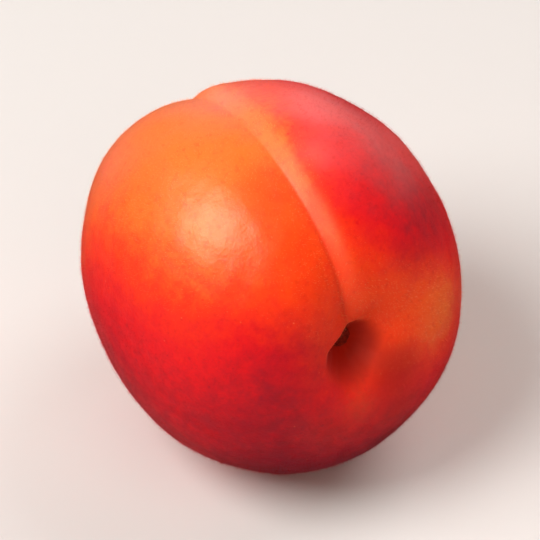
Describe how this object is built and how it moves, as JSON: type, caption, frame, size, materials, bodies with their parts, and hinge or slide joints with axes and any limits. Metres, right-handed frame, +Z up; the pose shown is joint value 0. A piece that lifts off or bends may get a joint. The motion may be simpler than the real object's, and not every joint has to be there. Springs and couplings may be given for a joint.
{
  "type": "apricot",
  "caption": "Ripe apricot: a rounded fruit, slightly narrower from cheek to cheek, with a shallow suture from a sunken stem pit over the front to a small tip.",
  "frame": {"origin": "the middle of the fruit's outline seen from above, at the level of the flat spot that it rests on", "axes": "+Z up, through the suture side; the stem end looks along -Y and 13.5 degrees up, the tip along +Y and as far down; +X is the right cheek seen from the stem end"},
  "size_m": [0.0408, 0.0428, 0.0436],
  "materials": {
    "skin": "satin fruit skin with a very short down, orange with a crimson blush"
  },
  "bodies": {
    "root": {"apricot": "skin"}
  },
  "joints": []
}
